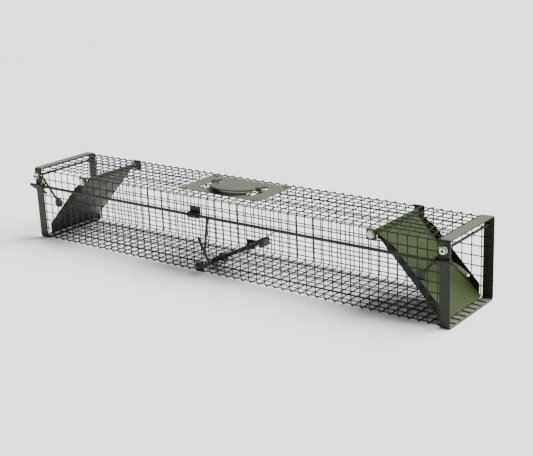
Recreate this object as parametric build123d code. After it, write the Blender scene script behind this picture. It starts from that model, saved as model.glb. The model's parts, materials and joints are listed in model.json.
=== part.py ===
"""Two-door live catch trap: a wire mesh tunnel with a sloping sheet door at each end.

Frame: X along the tunnel, -Y is the side that carries the trip rod, Z up.
The origin is the centre of the footprint, on the ground. Millimetres.
"""
from build123d import *
from math import cos, radians, sin, sqrt
import os

# ---- driving dimensions -------------------------------------------------------------
LENGTH = 1000.0            # over the end frames
WIDTH = 162.0              # over the end frames
HEIGHT = 157.0             # over the end frames
PITCH = 19.05              # mesh pitch along the tunnel
WIRE_R = 1.0               # mesh wire
CELLS = 8                  # mesh cells across each wall
LAST_RING = 25             # cross wires run from -25 to +25 pitches
MESH_CORNER = 7.0          # bend radius of the cross wires, to their centre line
WELD_GAP = 0.05            # air left between touching welded wires

BAND_WIDE = 20.0           # end frame flat bar
BAND_THICK = 2.5
BAND_CORNER = 6.0

SHEET = 1.5                # door sheet
DOOR_HALF = 69.8           # half width over the door flanges
DOOR_REACH = 191.0         # hinge axis to the free edge
DOOR_SLOPE = 46.2          # degrees below horizontal when shut
FLANGE = 13.5
HINGE_X = 350.5
HINGE_Z = 144.8
BARREL_R = 4.5
HINGE_PIN_R = 2.5
RUNNING = 0.06             # radial clearance of every running fit

LOCK_X = 490.0             # lock crank axle, through the end frame posts
LOCK_Z = 140.0
LOCK_ROD_R = 2.5
LOCK_REACH = 73.7
LOCK_SLOPE = 48.5          # degrees below horizontal when the door is shut
LOCK_LEG_Y = -73.2         # the leg swings between the door and the mesh wall
LOCK_COLLAR_R = 3.8        # collar that joins the leg to the axle
PAD_R = 9.5
PAD_THICK = 5.2

ROD_R = 3.0                # trip rod
ROD_Y = -87.0
ROD_Z = 120.0
ROD_HALF = 513.0
HOOK_LONG = 55.0
HOOK_SLOPE = 36.0
ARM_X = -11.5
ARM_R = 2.5
ARM_LONG = 74.0
ARM_LEAN = 12.0

TREADLE_X = -43.0          # treadle axle
TREADLE_Z = 13.0
TREADLE_R = 2.5
TREADLE_Y = -30.0
TREADLE_SLOPE = 26.0
LEVER_Y = -88.0

PLATE_X = (-111.0, 87.0)   # hand guard under the carry handle
PLATE_HALF = 54.0
PLATE_THICK = 1.5
SLOT_X = (-70.5, 44.5)
SLOT = (18.0, 66.0)
HANDLE_Y = -6.0            # carry handle hinge axis
HANDLE_RISE = 6.0          # its height over the hand guard
HANDLE_LEAN = 5.0          # degrees by which the folded handle tips down towards its bow

# ---- derived places -----------------------------------------------------------------
WIRE_IN = BAND_THICK + WIRE_R + 0.02                # lengthwise wire centres, in from the envelope
RING_IN = WIRE_IN - 2 * WIRE_R - WELD_GAP           # cross wire centres, in from the envelope
WALL_OUT = WIDTH / 2 - RING_IN + WIRE_R             # outer face of the mesh walls
ROOF_OUT = HEIGHT - RING_IN + WIRE_R
FLOOR_TOP = WIRE_IN + WIRE_R
GUARD_Z = ROOF_OUT + WELD_GAP
HANDLE_Z = GUARD_Z + PLATE_THICK + HANDLE_RISE


def cylinder(start, end, radius):
    """Round bar between two points."""
    start, end = Vector(*start), Vector(*end)
    along = end - start
    disc = Plane(origin=start, z_dir=along) * Circle(radius)
    return extrude(disc, amount=along.length, dir=along.normalized())


def bent_bar(points, bend, radius):
    """Round bar bent through the given points."""
    path = FilletPolyline(*points, radius=bend)
    section = Plane(origin=path @ 0, z_dir=path % 0) * Circle(radius)
    return sweep(section, path=path)


def block(x, y, z):
    """Box between three pairs of limits."""
    size = [pair[1] - pair[0] for pair in (x, y, z)]
    centre = [(pair[1] + pair[0]) / 2 for pair in (x, y, z)]
    return Pos(*centre) * Box(*size)


def tube(start, end, outer, inner):
    """Round bush between two points."""
    return cylinder(start, end, outer) - cylinder(start, end, inner)


def slope_point(x, z, slope, along, normal=0.0):
    """Point in the XZ plane, from (x, z) down a slope towards +X, then off it to the upper side."""
    a = radians(slope)
    return x + along * cos(a) + normal * sin(a), z - along * sin(a) + normal * cos(a)


def save(name, *solids):
    """Write one node."""
    flat = [piece for group in solids for piece in (group if isinstance(group, list) else [group])]
    solids_only = [solid for piece in flat for solid in piece.solids()]
    shape = solids_only[0] if len(solids_only) == 1 else Compound(children=solids_only)
    export_step(shape, f"parts/{name}.step")


def both_ends(name, piece):
    """Write a node of the right end and its mirror image for the left end."""
    pieces = piece if isinstance(piece, list) else [piece]
    save(f"right_{name}", pieces)
    save(f"left_{name}", [mirror(p, about=Plane.YZ) for p in pieces])


# ---- mesh ---------------------------------------------------------------------------
def corner_inset():
    """Inset of the lengthwise wires that lie inside the bends of the cross wires."""
    inside = MESH_CORNER - 2 * WIRE_R - WELD_GAP
    return RING_IN + MESH_CORNER - inside / sqrt(2)


def wire_rows(size):
    """Places of the lengthwise wires across one wall, corner wires included."""
    edge = corner_inset()
    step = (size - 2 * edge) / CELLS
    return [edge + i * step for i in range(CELLS + 1)]


def lengthwise_wires():
    rows_y = [y - WIDTH / 2 for y in wire_rows(WIDTH)]
    rows_z = wire_rows(HEIGHT)
    places = [(y, z) for y in (rows_y[0], rows_y[-1]) for z in (rows_z[0], rows_z[-1])]
    places += [(y, z) for y in rows_y[1:-1] for z in (WIRE_IN, HEIGHT - WIRE_IN)]
    places += [(y, z) for z in rows_z[1:-1] for y in (WIRE_IN - WIDTH / 2, WIDTH / 2 - WIRE_IN)]
    half = LENGTH / 2 - 1.5
    return [cylinder((-half, y, z), (half, y, z), WIRE_R) for y, z in places]


def cross_wires():
    outline = RectangleRounded(WIDTH - 2 * RING_IN, HEIGHT - 2 * RING_IN, MESH_CORNER)
    path = (Plane(origin=(0, 0, HEIGHT / 2), x_dir=(0, 1, 0), z_dir=(1, 0, 0)) * outline).wire()
    section = Plane(origin=path @ 0, z_dir=path % 0) * Circle(WIRE_R)
    ring = sweep(section, path=path)
    return [Pos(i * PITCH, 0, 0) * ring for i in range(-LAST_RING, LAST_RING + 1)]


# ---- end frame ----------------------------------------------------------------------
def end_frame():
    start = LENGTH / 2 - BAND_WIDE
    face = Plane(origin=(start, 0, HEIGHT / 2), x_dir=(0, 1, 0), z_dir=(1, 0, 0))
    outer = RectangleRounded(WIDTH, HEIGHT, BAND_CORNER)
    inner = RectangleRounded(WIDTH - 2 * BAND_THICK, HEIGHT - 2 * BAND_THICK, BAND_CORNER - BAND_THICK)
    hoop = extrude(face * (outer - inner), amount=BAND_WIDE)
    bore = cylinder((LOCK_X, -WIDTH, LOCK_Z), (LOCK_X, WIDTH, LOCK_Z), LOCK_ROD_R + RUNNING)
    return hoop - bore


# ---- door and its hinge -------------------------------------------------------------
def door():
    def at(along, normal):
        return slope_point(HINGE_X, HINGE_Z, DOOR_SLOPE, along, normal)

    def plate(corners, low_y, high_y):
        face = make_face(Polyline(*[(x, low_y, z) for x, z in corners], close=True))
        return extrude(face, amount=high_y - low_y, dir=(0, 1, 0))

    half = SHEET / 2
    panel = plate([at(HINGE_PIN_R + 1, -half), at(DOOR_REACH, -half),
                   at(DOOR_REACH, half), at(HINGE_PIN_R + 1, half)], -DOOR_HALF, DOOR_HALF)
    cut_x = LENGTH / 2 - BAND_WIDE - 1.5
    run = (cut_x - HINGE_X) / cos(radians(DOOR_SLOPE))
    run_top = run - FLANGE * sin(radians(DOOR_SLOPE)) / cos(radians(DOOR_SLOPE))
    side = [at(7, 0), at(7, 4), at(40, FLANGE), at(run_top, FLANGE), at(run, 0)]
    sides = [plate(side, -DOOR_HALF, -DOOR_HALF + SHEET), plate(side, DOOR_HALF - SHEET, DOOR_HALF)]
    ends = (HINGE_X, -DOOR_HALF, HINGE_Z), (HINGE_X, DOOR_HALF, HINGE_Z)
    barrel = cylinder(*ends, BARREL_R)
    bore = cylinder(*ends, HINGE_PIN_R + RUNNING)
    return panel + sides[0] + sides[1] + barrel - bore


def hinge_pin():
    low = (HINGE_X, -WALL_OUT - 8, HINGE_Z)
    shank = cylinder(low, (HINGE_X, WALL_OUT + 8, HINGE_Z), HINGE_PIN_R)
    head = cylinder(low, (HINGE_X, -WALL_OUT - 4.6, HINGE_Z), 5.0)
    return shank + head


def hinge_plates():
    plates = []
    for side in (-1, 1):
        y = sorted((side * (WALL_OUT + 0.05), side * (WALL_OUT + 2.55)))
        plate = block((HINGE_X - 10, HINGE_X + 10), y, (HINGE_Z - 11, HINGE_Z + 9))
        bore = cylinder((HINGE_X, y[0] - 1, HINGE_Z), (HINGE_X, y[1] + 1, HINGE_Z), HINGE_PIN_R + RUNNING)
        plates.append(plate - bore)
    return plates


def hinge_washers():
    washers = []
    for side in (-1, 1):
        near = side * (WALL_OUT + 2.6)
        far = side * (WALL_OUT + 4.2)
        washers.append(tube((HINGE_X, near, HINGE_Z), (HINGE_X, far, HINGE_Z), 7.0, HINGE_PIN_R + RUNNING))
    return washers


def hinge_nut():
    near = WALL_OUT + 4.3
    hexagon = Plane(origin=(HINGE_X, near, HINGE_Z), z_dir=(0, 1, 0)) * RegularPolygon(5.2, 6)
    nut = extrude(hexagon, amount=3.6)
    return nut - cylinder((HINGE_X, near - 1, HINGE_Z), (HINGE_X, near + 5, HINGE_Z), HINGE_PIN_R + RUNNING)


# ---- lock crank ---------------------------------------------------------------------
def lock_end():
    """Centre of the pad at the end of the crank leg."""
    a = radians(LOCK_SLOPE)
    return LOCK_X - LOCK_REACH * cos(a), LOCK_Z - LOCK_REACH * sin(a)


def lock_crank():
    x, z = lock_end()
    axle = cylinder((LOCK_X, -WIDTH / 2 - 11, LOCK_Z), (LOCK_X, WIDTH / 2 + 5, LOCK_Z), LOCK_ROD_R)
    leg = cylinder((LOCK_X, LOCK_LEG_Y, LOCK_Z), (x, LOCK_LEG_Y, z), LOCK_ROD_R)
    low, high = LOCK_LEG_Y - 2.65, LOCK_LEG_Y + 2.65
    collar = cylinder((LOCK_X, low, LOCK_Z), (LOCK_X, high, LOCK_Z), LOCK_COLLAR_R)
    return axle + collar + leg


def lock_pad():
    """Round pad moulded on the end of the crank leg."""
    x, z = lock_end()
    low, high = LOCK_LEG_Y - PAD_THICK / 2, LOCK_LEG_Y + PAD_THICK / 2
    disc = cylinder((x, low, z), (x, high, z), PAD_R)
    return disc - lock_crank()


def axle_caps():
    """Push-on caps that keep the axle in the posts, outside both of them."""
    caps = []
    for near, far in ((-WIDTH / 2 - 7.4, -WIDTH / 2 - 9.6), (WIDTH / 2 + 0.4, WIDTH / 2 + 2.4)):
        caps.append(tube((LOCK_X, near, LOCK_Z), (LOCK_X, far, LOCK_Z), 5.5, LOCK_ROD_R + RUNNING))
    return caps


def lock_spring():
    """Torsion spring round the axle, its tail hooked behind the inner edge of the post."""
    coil, wire, turns, per_turn = 6.0, 0.8, 2.25, 8
    steps = int(turns * per_turn)
    start_y = -WIDTH / 2 - 1.5
    step_y = 2.1 / per_turn
    points = []
    for i in range(steps + 1):
        a = radians(145) - radians(360) * i / per_turn
        points.append((LOCK_X + coil * cos(a), start_y - i * step_y, LOCK_Z + coil * sin(a)))
    post_edge = LENGTH / 2 - BAND_WIDE
    tail = [(post_edge - 2.0, start_y + 4, LOCK_Z + 1), (post_edge - 2.0, start_y, LOCK_Z + 1.5)]
    path_points = tail + points[1:]
    return bent_bar(path_points, 1.6, wire)


# ---- trip rod -----------------------------------------------------------------------
def trip_rod():
    a = radians(HOOK_SLOPE)
    tip_y, tip_z = ROD_Y + HOOK_LONG * cos(a), ROD_Z - HOOK_LONG * sin(a)
    points = [(-ROD_HALF, tip_y, tip_z), (-ROD_HALF, ROD_Y, ROD_Z),
              (ROD_HALF, ROD_Y, ROD_Z), (ROD_HALF, tip_y, tip_z)]
    return bent_bar(points, 7.0, ROD_R)


def trip_arm():
    a = radians(ARM_LEAN)
    near, far = ROD_R + 0.02, ARM_LONG

    def at(length):
        return ARM_X, ROD_Y - length * sin(a), ROD_Z - length * cos(a)

    return cylinder(at(near), at(far), ARM_R)


def rod_eye():
    """Eye welded to the front post, just inboard of it."""
    inner, outer = ROD_R + RUNNING, 6.0
    post = LENGTH / 2 - BAND_WIDE
    ring = tube((post - 11, ROD_Y, ROD_Z), (post - 4, ROD_Y, ROD_Z), outer, inner)
    foot = block((post - 11, post + 12), (-WIDTH / 2 - 2.6, -WIDTH / 2 - 0.05), (ROD_Z - 6, ROD_Z + 6))
    bore = cylinder((post - 20, ROD_Y, ROD_Z), (post + 20, ROD_Y, ROD_Z), inner)
    return ring + foot - bore


def rod_saddle():
    """Saddle that holds the middle of the rod against the mesh."""
    x = (-59.0, -33.0)
    plate = block(x, (-WALL_OUT - 2.05, -WALL_OUT - 0.05), (ROD_Z + 2, ROD_Z + 17))
    loop = tube((x[0], ROD_Y, ROD_Z), (x[1], ROD_Y, ROD_Z), ROD_R + 2.6, ROD_R + RUNNING)
    web = block(x, (-WALL_OUT - 2.05, -WALL_OUT - 0.05), (ROD_Z - 4, ROD_Z + 3))
    bore = cylinder((x[0] - 1, ROD_Y, ROD_Z), (x[1] + 1, ROD_Y, ROD_Z), ROD_R + RUNNING)
    return plate + loop + web - bore


# ---- treadle ------------------------------------------------------------------------
def treadle_at(along, normal, y):
    """Point on the treadle, which rises towards +X from its axle."""
    x, z = slope_point(TREADLE_X, TREADLE_Z, -TREADLE_SLOPE, along, normal)
    return x, y, z


def treadle_rod():
    lever_foot = treadle_at(34, 0, LEVER_Y)
    lever_top = (-37.6, LEVER_Y, 78.0)
    points = [(TREADLE_X, WALL_OUT + 5, TREADLE_Z), (TREADLE_X, LEVER_Y, TREADLE_Z), lever_foot, lever_top]
    return bent_bar(points, 5.0, TREADLE_R)


def treadle_slab(along, normal, y):
    corners = [treadle_at(a, n, y[0]) for a, n in
               ((along[0], normal[0]), (along[1], normal[0]), (along[1], normal[1]), (along[0], normal[1]))]
    return extrude(make_face(Polyline(*corners, close=True)), amount=y[1] - y[0], dir=(0, 1, 0))


def treadle_pedal():
    """Shallow channel, open below, welded on top of its axle."""
    base = TREADLE_R + 0.02
    low, high = TREADLE_Y - 12, TREADLE_Y + 12
    top = treadle_slab((-4, 140), (base, base + 1.5), (low, high))
    lips = [treadle_slab((8, 140), (base - 6, base + 1), (y, y + 1.5)) for y in (low, high - 1.5)]
    return top + lips[0] + lips[1]


def pedal_block():
    base = TREADLE_R
    return treadle_slab((126, 139), (base - 13, base), (TREADLE_Y - 10, TREADLE_Y + 10))


def pedal_sleeve():
    base = TREADLE_R
    return treadle_slab((90, 110), (base - 8, base), (TREADLE_Y - 5, TREADLE_Y + 5))


def bait_wire():
    base = TREADLE_R + 1.55
    bends = ((112, 1.2), (142, 1.2), (166, 4))
    points = [treadle_at(along, base + rise, TREADLE_Y) for along, rise in bends]
    return bent_bar(points, 12.0, 1.2)


def treadle_bearing():
    y = (-14.0, -4.0)
    bore = cylinder((TREADLE_X, y[0] - 1, TREADLE_Z), (TREADLE_X, y[1] + 1, TREADLE_Z), TREADLE_R + RUNNING)
    return block((TREADLE_X - 8, TREADLE_X + 8), y, (FLOOR_TOP + 0.05, TREADLE_Z + 6.5)) - bore


def treadle_wall_bushes():
    bushes = []
    for side in (-1, 1):
        y = sorted((side * (WALL_OUT + 0.05), side * (WALL_OUT + 2.05)))
        plate = block((TREADLE_X - 9, TREADLE_X + 9), y, (TREADLE_Z - 9, TREADLE_Z + 9))
        near, far = (TREADLE_X, y[0] - 1, TREADLE_Z), (TREADLE_X, y[1] + 1, TREADLE_Z)
        bushes.append(plate - cylinder(near, far, TREADLE_R + RUNNING))
    return bushes


def treadle_clip():
    near, far = (TREADLE_X, WALL_OUT + 2.3, TREADLE_Z), (TREADLE_X, WALL_OUT + 3.9, TREADLE_Z)
    return tube(near, far, 5.0, TREADLE_R + RUNNING)


# ---- hand guard and carry handle ----------------------------------------------------
def hand_guard():
    centre = (PLATE_X[0] + PLATE_X[1]) / 2
    outline = Pos(centre, 0) * RectangleRounded(PLATE_X[1] - PLATE_X[0], 2 * PLATE_HALF, 2.0)
    for x in SLOT_X:
        outline -= Pos(x, 0) * RectangleRounded(*SLOT, 4.0)
    return extrude(Plane.XY.offset(GUARD_Z) * outline, amount=PLATE_THICK)


def guard_clips():
    """Bent tabs that grip the edges of the hand guard onto the mesh."""
    clips = []
    for x in (PLATE_X[0] + 12, PLATE_X[1] - 12):
        for side in (-1, 1):
            y = sorted((side * (PLATE_HALF + 0.05), side * (PLATE_HALF + 2.05)))
            over = sorted((side * (PLATE_HALF - 8), side * (PLATE_HALF + 2.05)))
            top = GUARD_Z + PLATE_THICK + 0.05
            riser = block((x - 5, x + 5), y, (GUARD_Z + 0.05, top + 1.5))
            clips.append(riser + block((x - 5, x + 5), over, (top, top + 1.5)))
    return clips


def handle_places():
    """Outer ends of the two handle eyes along the hinge axis."""
    return SLOT_X[0] + SLOT[0] / 2 + 5, SLOT_X[1] + SLOT[0] / 2 + 1


def carry_handle():
    """Crescent bail of plate, folded forward onto the hand guard."""
    left, right = handle_places()
    middle = (left + right) / 2
    lean = radians(HANDLE_LEAN)
    plane = Plane(origin=(middle, HANDLE_Y, HANDLE_Z), x_dir=(1, 0, 0), z_dir=(0, sin(lean), cos(lean)))
    half = (right - left) / 2
    outer = ThreePointArc((-half, 0), (0, -49), (half, 0))
    inner = ThreePointArc((half - 9, 0), (0, -25), (-half + 9, 0))
    edge = [outer, Line((half, 0), (half - 9, 0)), inner, Line((-half + 9, 0), (-half, 0))]
    bail = extrude(plane * make_face(Wire(edge)), amount=1.25, both=True)
    eyes = []
    for start, end in ((left, left + 9), (right - 9, right)):
        eyes.append(cylinder((start, HANDLE_Y, HANDLE_Z), (end, HANDLE_Y, HANDLE_Z), 4.0))
    bore = cylinder((left - 5, HANDLE_Y, HANDLE_Z), (right + 5, HANDLE_Y, HANDLE_Z), 2.0 + RUNNING)
    return bail + eyes[0] + eyes[1] - bore


def handle_lugs():
    left, right = handle_places()
    lugs = []
    for x in ((left - 3.4, left - 0.4), (right + 0.4, right + 3.4)):
        lug = block(x, (HANDLE_Y - 6, HANDLE_Y + 6), (GUARD_Z + PLATE_THICK + 0.05, HANDLE_Z + 5))
        bore = cylinder((x[0] - 1, HANDLE_Y, HANDLE_Z), (x[1] + 1, HANDLE_Y, HANDLE_Z), 2.0 + RUNNING)
        lugs.append(lug - bore)
    return lugs


def handle_pins():
    left, right = handle_places()
    pins = []
    for near, head, far in ((left - 3.8, left - 5.4, left + 8), (right + 3.8, right + 5.4, right - 8)):
        pin = cylinder((near, HANDLE_Y, HANDLE_Z), (far, HANDLE_Y, HANDLE_Z), 2.0)
        pins.append(pin + cylinder((head, HANDLE_Y, HANDLE_Z), (near, HANDLE_Y, HANDLE_Z), 3.6))
    return pins


# ---- write --------------------------------------------------------------------------
os.makedirs("parts", exist_ok=True)
save("mesh_lengthwise_wires", lengthwise_wires())
save("mesh_cross_wires", cross_wires())
both_ends("end_frame", end_frame())
both_ends("door", door())
both_ends("hinge_pin", hinge_pin())
both_ends("hinge_plates", hinge_plates())
both_ends("hinge_washers", hinge_washers())
both_ends("hinge_nut", hinge_nut())
both_ends("lock_crank", lock_crank())
both_ends("lock_pad", lock_pad())
both_ends("lock_spring", lock_spring())
both_ends("axle_caps", axle_caps())
both_ends("rod_eye", rod_eye())
save("trip_rod", trip_rod())
save("trip_arm", trip_arm())
save("rod_saddle", rod_saddle())
save("treadle_rod", treadle_rod())
save("treadle_pedal", treadle_pedal())
save("pedal_block", pedal_block())
save("pedal_sleeve", pedal_sleeve())
save("bait_wire", bait_wire())
save("treadle_bearing", treadle_bearing())
save("treadle_wall_bushes", treadle_wall_bushes())
save("treadle_clip", treadle_clip())
save("hand_guard", hand_guard())
save("guard_clips", guard_clips())
save("carry_handle", carry_handle())
save("handle_lugs", handle_lugs())
save("handle_pins", handle_pins())
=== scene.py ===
"""Looks of a two-door live catch trap: welded mesh, painted steel, zinc fittings, floor and light."""
import bpy
import json
import random
from math import cos, pi, radians, sin, sqrt
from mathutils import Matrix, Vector


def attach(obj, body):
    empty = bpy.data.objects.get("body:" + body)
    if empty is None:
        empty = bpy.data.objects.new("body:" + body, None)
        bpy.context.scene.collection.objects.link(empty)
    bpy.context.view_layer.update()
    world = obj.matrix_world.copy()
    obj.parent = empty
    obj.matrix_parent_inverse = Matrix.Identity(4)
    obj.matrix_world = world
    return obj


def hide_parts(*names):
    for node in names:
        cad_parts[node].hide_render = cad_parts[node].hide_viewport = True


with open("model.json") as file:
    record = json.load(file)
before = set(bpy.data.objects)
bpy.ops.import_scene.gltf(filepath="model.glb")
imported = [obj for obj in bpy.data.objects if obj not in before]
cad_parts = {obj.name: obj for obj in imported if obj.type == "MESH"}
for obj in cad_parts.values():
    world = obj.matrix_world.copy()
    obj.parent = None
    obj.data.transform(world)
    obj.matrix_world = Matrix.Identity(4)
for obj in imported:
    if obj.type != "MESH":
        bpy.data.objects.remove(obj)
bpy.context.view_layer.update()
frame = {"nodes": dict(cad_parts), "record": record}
MM = 0.001

# ---- places shared with the frame, in millimetres -------------------------------------
LENGTH, WIDTH, HEIGHT = 1000.0, 162.0, 157.0
PITCH, CELLS, LAST_RING = 19.05, 8, 25
WIRE_R, WIRE_IN, RING_IN, CORNER = 1.0, 3.52, 1.47, 7.0
WIRE_SHORT = 1.5                    # lengthwise wires stop this far from the ends
ROD_R, ROD_Y, ROD_Z, ROD_HALF = 3.0, -87.0, 120.0, 513.0
HOOK_LONG, HOOK_SLOPE, HOOK_BEND = 55.0, 36.0, 7.0
ARM_X, ARM_R, ARM_LONG, ARM_LEAN = -11.5, 2.5, 74.0, 12.0
TREADLE_X, TREADLE_Z, TREADLE_R, TREADLE_SLOPE = -43.0, 13.0, 2.5, 26.0
LEVER_Y, PEDAL_Y = -88.0, -30.0
TREADLE_END_Y = 85.53               # far end of the treadle axle
TREADLE_BEND = 5.0
LEVER_FOOT = 34.0                   # sloping part of the lever
LEVER_TOP_X, LEVER_TOP_Z = -37.6, 78.0
LOCK_X, LOCK_Z, LOCK_R, LOCK_REACH, LOCK_SLOPE, LEG_Y = 490.0, 140.0, 2.5, 73.7, 48.5, -73.2
LOCK_NEAR, LOCK_FAR = 11, 5         # how far the lock axle stands out of the near and far wall

# ---- details that only this script has, in millimetres ---------------------------------
SOFT_EDGE = 0.25                    # bevel on the carried-over nodes
NUGGET_R, NUGGET_HIGH, NUGGET_OUT = 1.45, 0.75, 1.02
ARM_SINK = 0.4                      # the trip arm starts this far inside the rod
BEAD_R = 0.9
WORN_LONG, WORN_SKIN = 9, 0.06      # bare metal on the hook tips
SEAM_X = (-2.2, 2.4)                # weld seams on both sides of the treadle axle
SEAM_LONG, SEAM_DROPS = 18, 12

# ---- stage, in metres and degrees ------------------------------------------------------
FLOOR_REACH = 60.0
SKY_STRENGTH = 0.4
SUN_STRENGTH, SUN_ANGLE, SUN_PLACE = 8.5, 45, (0.9, 0.7, 1.8)
LENS, SENSOR = 73.94, 36.0          # millimetres
CAMERA_PLACE = (1.2941, -1.5871, 0.7267)
CAMERA_TURN = (72.316, 2.392, 37.062)


# ---- materials ------------------------------------------------------------------------
def linear(*srgb):
    """Scene colour from eight-bit values."""
    parts = [v / 255 for v in srgb]
    return [p / 12.92 if p <= 0.04045 else ((p + 0.055) / 1.055) ** 2.4 for p in parts] + [1.0]


class Nodes:
    """Small helper that adds and links the nodes of one material."""

    def __init__(self, name):
        self.material = bpy.data.materials.new(name)
        self.material.use_nodes = True
        self.tree = self.material.node_tree
        self.shader = self.tree.nodes["Principled BSDF"]
        self.place = self.tree.nodes.new("ShaderNodeTexCoord").outputs["Object"]

    def link(self, source, target):
        self.tree.links.new(source, target)

    def noise(self, scale, detail=3.0, stretch=None):
        """Noise over the object, optionally stretched along an axis."""
        place = self.place
        if stretch:
            mapping = self.tree.nodes.new("ShaderNodeMapping")
            mapping.inputs["Scale"].default_value = stretch
            self.link(self.place, mapping.inputs["Vector"])
            place = mapping.outputs["Vector"]
        node = self.tree.nodes.new("ShaderNodeTexNoise")
        node.inputs["Scale"].default_value = scale
        node.inputs["Detail"].default_value = detail
        self.link(place, node.inputs["Vector"])
        return node.outputs["Fac"]

    def ramp(self, value, *stops):
        """Colour ramp through (position, colour) stops."""
        node = self.tree.nodes.new("ShaderNodeValToRGB")
        elements = node.color_ramp.elements
        while len(elements) < len(stops):
            elements.new(0.5)
        for element, (position, colour) in zip(elements, stops):
            element.position = position
            element.color = colour
        self.link(value, node.inputs["Fac"])
        return node.outputs["Color"]

    def spread(self, value, low, high):
        """Number between low and high that follows value."""
        node = self.tree.nodes.new("ShaderNodeMapRange")
        node.inputs["From Min"].default_value = 0.3
        node.inputs["From Max"].default_value = 0.7
        node.inputs["To Min"].default_value = low
        node.inputs["To Max"].default_value = high
        self.link(value, node.inputs["Value"])
        return node.outputs["Result"]

    def mix(self, share, first, second):
        """Colour between two colours."""
        node = self.tree.nodes.new("ShaderNodeMix")
        node.data_type = "RGBA"
        factor, a, b = [socket for socket in node.inputs if socket.enabled][:3]
        self.link(share, factor)
        self.link(first, a)
        self.link(second, b)
        return next(socket for socket in node.outputs if socket.enabled)

    def facing(self, axis, start, full, both_ways=False):
        """Share that rises to 1 as the surface's own direction along an axis goes from start to full."""
        split = self.tree.nodes.new("ShaderNodeSeparateXYZ")
        self.link(self.place.node.outputs["Normal"], split.inputs["Vector"])
        along = split.outputs[axis]
        if both_ways:
            amount = self.tree.nodes.new("ShaderNodeMath")
            amount.operation = "ABSOLUTE"
            self.link(along, amount.inputs[0])
            along = amount.outputs[0]
        node = self.tree.nodes.new("ShaderNodeMapRange")
        node.inputs["From Min"].default_value = start
        node.inputs["From Max"].default_value = full
        self.link(along, node.inputs["Value"])
        return node.outputs["Result"]

    def bump(self, height, strength, distance):
        """Fine relief that follows height."""
        node = self.tree.nodes.new("ShaderNodeBump")
        node.inputs["Strength"].default_value = strength
        node.inputs["Distance"].default_value = distance
        self.link(height, node.inputs["Height"])
        self.link(node.outputs["Normal"], self.shader.inputs["Normal"])


def paint(name, dark, light, rough=(0.36, 0.52), painted_top_highlight=None, painted_under_shade=None, sides=None):
    """Satin paint on steel: mottled tone, worn specks, fine scratches and orange peel.

    If asked, up faces get a painted highlight; down faces and faces along Y get painted shade.
    """
    n = Nodes(name)

    def cover(tone, share, colour, change):
        """Lays a second, slightly mottled tone over the first."""
        lighter = [v + change for v in colour]
        second = n.ramp(n.noise(28.0, 6.0), (0.3, linear(*colour)), (0.7, linear(*lighter)))
        return n.mix(share, tone, second)

    def marks(noise, start, end, most):
        """Share of worn marks, from none to most."""
        return n.ramp(noise, (start, (0, 0, 0, 1)), (end, (most, most, most, 1)))

    tone = n.ramp(n.noise(9.0, 5.0), (0.3, linear(*dark)), (0.7, linear(*light)))
    # painted highlight: faces that point up get a lighter tone
    if painted_top_highlight:
        tone = cover(tone, n.facing("Z", 0.75, 0.97), painted_top_highlight, 8)
    # painted shade: faces that point down get a darker tone
    if painted_under_shade:
        tone = cover(tone, n.facing("Z", -0.15, -0.55), painted_under_shade, 7)
    # painted shade: faces that point along Y, either way, get a darker tone
    if sides:
        tone = cover(tone, n.facing("Y", 0.7, 0.95, both_ways=True), sides, 6)
    worn = [v + 34 for v in light]
    tone = cover(tone, marks(n.noise(230.0, 6.0), 0.62, 0.72, 0.55), worn, 3)
    tone = cover(tone, marks(n.noise(60.0, 2.0, (1.0, 16.0, 1.0)), 0.66, 0.72, 0.4), worn, 3)
    n.link(tone, n.shader.inputs["Base Color"])
    n.link(n.spread(n.noise(30.0, 6.0), *rough), n.shader.inputs["Roughness"])
    n.shader.inputs["Specular IOR Level"].default_value = 0.2
    n.bump(n.noise(700.0, 2.0), 0.12, 0.0004)
    return n.material


def zinc(name):
    """Bright zinc plate with faint drawn lines and dull patches."""
    n = Nodes(name)
    tone = n.ramp(n.noise(120.0, 6.0), (0.3, linear(150, 151, 148)), (0.7, linear(206, 206, 202)))
    n.link(tone, n.shader.inputs["Base Color"])
    n.shader.inputs["Metallic"].default_value = 1.0
    n.link(n.spread(n.noise(260.0, 5.0), 0.22, 0.46), n.shader.inputs["Roughness"])
    n.bump(n.noise(90.0, 3.0, (1.0, 12.0, 1.0)), 0.1, 0.0002)
    return n.material


def plastic(name):
    """Matt black moulding."""
    n = Nodes(name)
    tone = n.ramp(n.noise(40.0, 4.0), (0.3, linear(18, 19, 18)), (0.7, linear(34, 35, 32)))
    n.link(tone, n.shader.inputs["Base Color"])
    n.link(n.spread(n.noise(160.0, 4.0), 0.5, 0.7), n.shader.inputs["Roughness"])
    n.bump(n.noise(900.0, 2.0), 0.15, 0.0003)
    return n.material


def floor_finish(name):
    """Pale seamless studio paper."""
    n = Nodes(name)
    tone = n.ramp(n.noise(2.0, 3.0), (0.3, linear(243, 243, 242)), (0.7, linear(247, 247, 246)))
    n.link(tone, n.shader.inputs["Base Color"])
    n.link(n.spread(n.noise(60.0, 4.0), 0.75, 0.9), n.shader.inputs["Roughness"])
    n.bump(n.noise(500.0, 2.0), 0.03, 0.0002)
    return n.material


MESH_PAINT = paint("mesh_paint", (22, 24, 18), (33, 35, 28), (0.34, 0.5))
# frame: painted highlight on the faces that point up, painted shade on the faces that point down
FRAME_PAINT = paint("frame_paint", (30, 36, 22), (38, 44, 28),
                    painted_top_highlight=(92, 95, 80), painted_under_shade=(22, 26, 17))
# guard: painted shade on the faces that point down
GUARD_PAINT = paint("guard_paint", (84, 86, 72), (92, 94, 80), (0.34, 0.46), painted_under_shade=(40, 42, 34))
# handle: painted highlight on the faces that point up
HANDLE_PAINT = paint("handle_paint", (46, 48, 36), (54, 56, 43), (0.4, 0.52), painted_top_highlight=(74, 76, 63))
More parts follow.
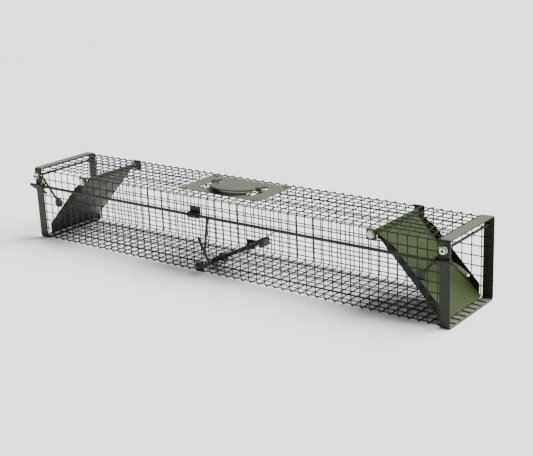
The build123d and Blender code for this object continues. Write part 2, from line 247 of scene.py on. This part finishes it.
# doors: painted shade on the inner face, which points down, and on the flanges, which point along Y
DOOR_PAINT = paint("door_paint", (40, 55, 18), (48, 64, 24), painted_under_shade=(15, 18, 10), sides=(16, 22, 9))
ROD_PAINT = paint("rod_paint", (36, 40, 26), (46, 51, 35))
DARK_PAINT = paint("dark_paint", (18, 20, 15), (28, 30, 23))
ZINC = zinc("zinc_plate")
PLASTIC = plastic("black_plastic")

SLOT_PAINT = {"mesh_paint": MESH_PAINT, "frame_paint": FRAME_PAINT, "door_paint": DOOR_PAINT,
              "rod_paint": ROD_PAINT, "zinc": ZINC, "black_plastic": PLASTIC}
NODE_PAINT = {"hand_guard": GUARD_PAINT, "guard_clips": GUARD_PAINT, "carry_handle": HANDLE_PAINT,
              "handle_lugs": HANDLE_PAINT, "rod_saddle": DARK_PAINT, "treadle_wall_bushes": DARK_PAINT,
              "treadle_pedal": DARK_PAINT}


def finish_cad_nodes():
    """Every carried-over node gets its finish, soft edges and smooth shading.

    Its stored normals are dropped, so that the shading follows the bevel. Its vertices stay.
    """
    for part in frame["record"]["subparts"]:
        node = frame["nodes"][part["node"]]
        node.data.materials.clear()
        node.data.materials.append(NODE_PAINT.get(part["node"], SLOT_PAINT[part["material_slot"]]))
        if "custom_normal" in node.data.attributes:
            node.data.attributes.remove(node.data.attributes["custom_normal"])
        node.data.shade_smooth()
        weld = node.modifiers.new("weld", "WELD")
        weld.merge_threshold = 1e-6
        bevel = node.modifiers.new("bevel", "BEVEL")
        bevel.width = SOFT_EDGE * MM
        bevel.segments = 2
        bevel.limit_method = "ANGLE"
        bevel.angle_limit = radians(32)
        bevel.harden_normals = True


# ---- mesh building --------------------------------------------------------------------
class Build:
    """Collects vertices and faces of one piece, in millimetres."""

    def __init__(self):
        self.points = []
        self.faces = []

    def sweep(self, path, radius, sides=12, closed=False, domed=True):
        """Round bar along a path; open ends are slightly domed."""
        rings = [Vector(p) for p in path]
        radii = [radius] * len(rings)
        if domed and not closed:
            start, end = (rings[0] - rings[1]).normalized(), (rings[-1] - rings[-2]).normalized()
            cap = 0.3 * radius
            rings = [rings[0], rings[0] - start * cap] + rings[1:-1] + [rings[-1] - end * cap, rings[-1]]
            radii = [radius * 0.72] + [radius] * (len(rings) - 2) + [radius * 0.72]
        first = len(self.points)
        count = len(rings)
        side = None
        for i, centre in enumerate(rings):
            before = rings[i - 1] if (closed or i) else centre
            after = rings[(i + 1) % count] if (closed or i + 1 < count) else centre
            along = (after - before).normalized()
            if side is None:
                side = along.orthogonal()
            side = (side - along * side.dot(along)).normalized()
            other = along.cross(side)
            for k in range(sides):
                a = 2 * pi * k / sides
                self.points.append(centre + (side * cos(a) + other * sin(a)) * radii[i])
        for i in range(count if closed else count - 1):
            here, there = first + i * sides, first + ((i + 1) % count) * sides
            for k in range(sides):
                turn = (k + 1) % sides
                self.faces.append((here + k, here + turn, there + turn, there + k))
        if not closed:
            self.faces.append(tuple(first + k for k in reversed(range(sides))))
            self.faces.append(tuple(first + (count - 1) * sides + k for k in range(sides)))

    def blob(self, centre, axes, around=8, rings=4):
        """Ellipsoid with three half-axis vectors."""
        centre = Vector(centre)
        a, b, c = (Vector(v) for v in axes)
        first = len(self.points)
        self.points.append(centre + c)
        for i in range(1, rings):
            tilt = pi * i / rings
            for k in range(around):
                turn = 2 * pi * k / around
                self.points.append(centre + (a * cos(turn) + b * sin(turn)) * sin(tilt) + c * cos(tilt))
        self.points.append(centre - c)
        last = len(self.points) - 1
        for k in range(around):
            after = (k + 1) % around
            self.faces.append((first, first + 1 + k, first + 1 + after))
            for i in range(rings - 2):
                row = first + 1 + i * around
                self.faces.append((row + k, row + around + k, row + around + after, row + after))
            row = first + 1 + (rings - 2) * around
            self.faces.append((row + k, last, row + after))

    def piece(self, name, body, slot, material, *replaced):
        """Turns what was collected into an object that rides on a body."""
        mesh = bpy.data.meshes.new(name)
        mesh.from_pydata([p * MM for p in self.points], [], self.faces)
        mesh.shade_smooth()
        mesh.set_sharp_from_angle(angle=radians(50))
        mesh.materials.append(material)
        made = bpy.data.objects.new(name, mesh)
        bpy.context.scene.collection.objects.link(made)
        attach(made, body)
        if replaced:
            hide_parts(*replaced)


def rounded(points, bend, steps=8, closed=False):
    """Path through the points with round bends."""
    points = [Vector(p) for p in points]
    path = []
    for i, corner in enumerate(points):
        if not closed and i in (0, len(points) - 1):
            path.append(corner)
            continue
        back = (points[i - 1] - corner).normalized()
        ahead = (points[(i + 1) % len(points)] - corner).normalized()
        half = back.angle(ahead) / 2
        middle = corner + (back + ahead).normalized() * bend / sin(half)
        touch = bend * cos(half) / sin(half)
        start, end = ((corner + way * touch - middle).normalized() for way in (back, ahead))
        for k in range(steps + 1):
            path.append(middle + start.slerp(end, k / steps) * bend)
    return path


def mirrored(points, side):
    """The points of the right end, or their mirror image for the left end."""
    return [(side * x, y, z) for x, y, z in points]


# ---- welded mesh ----------------------------------------------------------------------
def wire_places():
    """Centre of every lengthwise wire, with the direction from it to the cross wire it is welded to."""
    edge = RING_IN + CORNER - (CORNER - 2 * WIRE_R - 0.05) / sqrt(2)
    wide = [edge + i * (WIDTH - 2 * edge) / CELLS - WIDTH / 2 for i in range(CELLS + 1)]
    tall = [edge + i * (HEIGHT - 2 * edge) / CELLS for i in range(CELLS + 1)]
    places = [(y, z, (0, sign_y, sign_z)) for y, sign_y in ((wide[0], -1), (wide[-1], 1))
              for z, sign_z in ((tall[0], -1), (tall[-1], 1))]
    for y in wide[1:-1]:
        places += [(y, WIRE_IN, (0, 0, -1)), (y, HEIGHT - WIRE_IN, (0, 0, 1))]
    for z in tall[1:-1]:
        places += [(WIRE_IN - WIDTH / 2, z, (0, -1, 0)), (WIDTH / 2 - WIRE_IN, z, (0, 1, 0))]
    return places


def build_mesh():
    """Lengthwise wires, cross wires as closed rings, and a weld nugget where they meet."""
    chance = random.Random(7)
    half = LENGTH / 2 - WIRE_SHORT
    long_wires, rings, welds = Build(), Build(), Build()
    y, low, high = WIDTH / 2 - RING_IN, RING_IN, HEIGHT - RING_IN
    for y_wire, z_wire, outward in wire_places():
        long_wires.sweep([(-half, y_wire, z_wire), (half, y_wire, z_wire)], WIRE_R)
        out = Vector(outward).normalized()
        across = out.cross(Vector((1, 0, 0)))
        for i in range(-LAST_RING, LAST_RING + 1):
            grow = chance.uniform(0.85, 1.15)
            centre = Vector((i * PITCH, y_wire, z_wire)) + out * NUGGET_OUT
            axes = (Vector((NUGGET_R, 0, 0)) * grow, across * NUGGET_R * grow, out * NUGGET_HIGH)
            welds.blob(centre, axes)
    for i in range(-LAST_RING, LAST_RING + 1):
        x = i * PITCH
        corners = [(x, -y, low), (x, y, low), (x, y, high), (x, -y, high)]
        rings.sweep(rounded(corners, CORNER, 6, closed=True), WIRE_R, closed=True)
    long_wires.piece("welded_mesh_lengthwise", "cage", "mesh_paint", MESH_PAINT, "mesh_lengthwise_wires")
    rings.piece("welded_mesh_across", "cage", "mesh_paint", MESH_PAINT, "mesh_cross_wires")
    welds.piece("mesh_weld_nuggets", "cage", "mesh_paint", MESH_PAINT)


# ---- bars -----------------------------------------------------------------------------
def weld_bead(build, centre, axis, radius, size, count=14):
    """Ring of overlapping weld drops round a bar."""
    axis = Vector(axis).normalized()
    side = axis.orthogonal().normalized()
    other = axis.cross(side)
    for i in range(count):
        a = 2 * pi * i / count
        out = side * cos(a) + other * sin(a)
        tangent = axis.cross(out)
        axes = (tangent * size, out * size * 0.8, axis * size * 0.8)
        build.blob(Vector(centre) + out * radius, axes, 8, 5)


def build_trip_rod():
    """Rod with a hook at each end, and the trip arm with its weld bead."""
    a = radians(HOOK_SLOPE)
    tip_y, tip_z = ROD_Y + HOOK_LONG * cos(a), ROD_Z - HOOK_LONG * sin(a)
    rod = Build()
    corners = [(-ROD_HALF, tip_y, tip_z), (-ROD_HALF, ROD_Y, ROD_Z),
               (ROD_HALF, ROD_Y, ROD_Z), (ROD_HALF, tip_y, tip_z)]
    rod.sweep(rounded(corners, HOOK_BEND, 12), ROD_R, 28)
    rod.piece("trip_rod_bar", "trip_rod", "rod_paint", ROD_PAINT, "trip_rod")

    lean = radians(ARM_LEAN)
    down = Vector((0, -sin(lean), -cos(lean)))
    top = Vector((ARM_X, ROD_Y, ROD_Z))
    arm = Build()
    arm.sweep([top + down * (ROD_R - ARM_SINK), top + down * ARM_LONG], ARM_R, 24)
    arm.piece("trip_arm_bar", "trip_rod", "rod_paint", ROD_PAINT, "trip_arm")
    bead = Build()
    weld_bead(bead, top + down * (ROD_R + 0.3), down, ARM_R + 0.1, BEAD_R)
    bead.piece("trip_arm_weld", "trip_rod", "rod_paint", ROD_PAINT)


def build_worn_tips():
    """Bare metal where the hooks rub, a thin sleeve over each tip."""
    a = radians(HOOK_SLOPE)
    along = Vector((0, cos(a), -sin(a)))
    tips = Build()
    for side in (-1, 1):
        start = Vector((side * ROD_HALF, ROD_Y, ROD_Z))
        path = [start + along * (HOOK_LONG - WORN_LONG), start + along * (HOOK_LONG + WORN_SKIN)]
        tips.sweep(path, ROD_R + WORN_SKIN, 28)
    tips.piece("worn_hook_tips", "trip_rod", "zinc", ZINC)


def build_treadle_bar():
    """Treadle axle and lever, one bent bar, with the weld seams under the pedal."""
    slope = radians(TREADLE_SLOPE)
    foot = (TREADLE_X + LEVER_FOOT * cos(slope), LEVER_Y, TREADLE_Z + LEVER_FOOT * sin(slope))
    top = (LEVER_TOP_X, LEVER_Y, LEVER_TOP_Z)
    corners = [(TREADLE_X, TREADLE_END_Y, TREADLE_Z), (TREADLE_X, LEVER_Y, TREADLE_Z), foot, top]
    bar = Build()
    bar.sweep(rounded(corners, TREADLE_BEND, 10), TREADLE_R, 24)
    bar.piece("treadle_bar", "treadle", "rod_paint", ROD_PAINT, "treadle_rod")
    seams = Build()
    lift = TREADLE_R + 0.15
    for x in SEAM_X:
        for i in range(SEAM_DROPS):
            place = (TREADLE_X + x - lift * sin(slope) * 0.4,
                     PEDAL_Y - SEAM_LONG / 2 + i * SEAM_LONG / (SEAM_DROPS - 1),
                     TREADLE_Z + lift * 0.62 + x * sin(slope))
            seams.blob(place, ((0.9, 0, 0), (0, 1.1, 0), (0, 0, 0.9)))
    seams.piece("pedal_welds", "treadle", "rod_paint", ROD_PAINT)


def build_lock_cranks():
    """Axle and leg of each lock crank, without the small collar that the CAD has between them."""
    for name, side in (("left", -1), ("right", 1)):
        a = radians(LOCK_SLOPE)
        end = (LOCK_X - LOCK_REACH * cos(a), LEG_Y, LOCK_Z - LOCK_REACH * sin(a))
        bars = Build()
        axle = [(LOCK_X, -WIDTH / 2 - LOCK_NEAR, LOCK_Z), (LOCK_X, WIDTH / 2 + LOCK_FAR, LOCK_Z)]
        bars.sweep(mirrored(axle, side), LOCK_R, 24)
        bars.sweep(mirrored([(LOCK_X, LEG_Y, LOCK_Z), end], side), LOCK_R, 24)
        body = f"{name}_lock"
        bars.piece(f"{name}_lock_crank_bars", body, "rod_paint", ROD_PAINT, f"{name}_lock_crank")


# ---- floor, light and camera ----------------------------------------------------------
def build_floor():
    """Plain pale floor, large enough to fill every view."""
    reach = FLOOR_REACH
    corners = [(-reach, -reach, 0), (reach, -reach, 0), (reach, reach, 0), (-reach, reach, 0)]
    mesh = bpy.data.meshes.new("floor")
    mesh.from_pydata(corners, [], [(0, 1, 2, 3)])
    mesh.materials.append(floor_finish("studio_paper"))
    floor = bpy.data.objects.new("floor", mesh)
    bpy.context.scene.collection.objects.link(floor)


def aimed(name, data, place, target=(0, 0, 0.1)):
    """Lamp at a place, turned to its target."""
    lamp = bpy.data.objects.new(name, data)
    lamp.location = place
    lamp.rotation_mode = "QUATERNION"
    lamp.rotation_quaternion = (Vector(target) - Vector(place)).to_track_quat("-Z", "Y")
    bpy.context.scene.collection.objects.link(lamp)


def build_light():
    """Pale sky and one broad, soft sun."""
    world = bpy.data.worlds.new("studio")
    world.use_nodes = True
    sky = world.node_tree.nodes["Background"]
    sky.inputs["Color"].default_value = (1.0, 1.0, 1.0, 1.0)
    sky.inputs["Strength"].default_value = SKY_STRENGTH
    bpy.context.scene.world = world
    ceiling = bpy.data.lights.new("ceiling", "SUN")
    ceiling.energy = SUN_STRENGTH
    ceiling.angle = radians(SUN_ANGLE)
    aimed("ceiling", ceiling, SUN_PLACE)


def build_camera():
    """Camera at the photograph's viewing angle."""
    data = bpy.data.cameras.new("camera")
    data.sensor_width = SENSOR
    data.lens = LENS
    data.clip_end = 200.0
    camera = bpy.data.objects.new("camera", data)
    camera.location = CAMERA_PLACE
    camera.rotation_euler = [radians(v) for v in CAMERA_TURN]
    bpy.context.scene.collection.objects.link(camera)
    bpy.context.scene.camera = camera


finish_cad_nodes()
build_mesh()
build_trip_rod()
build_worn_tips()
build_treadle_bar()
build_lock_cranks()
build_floor()
build_light()
build_camera()
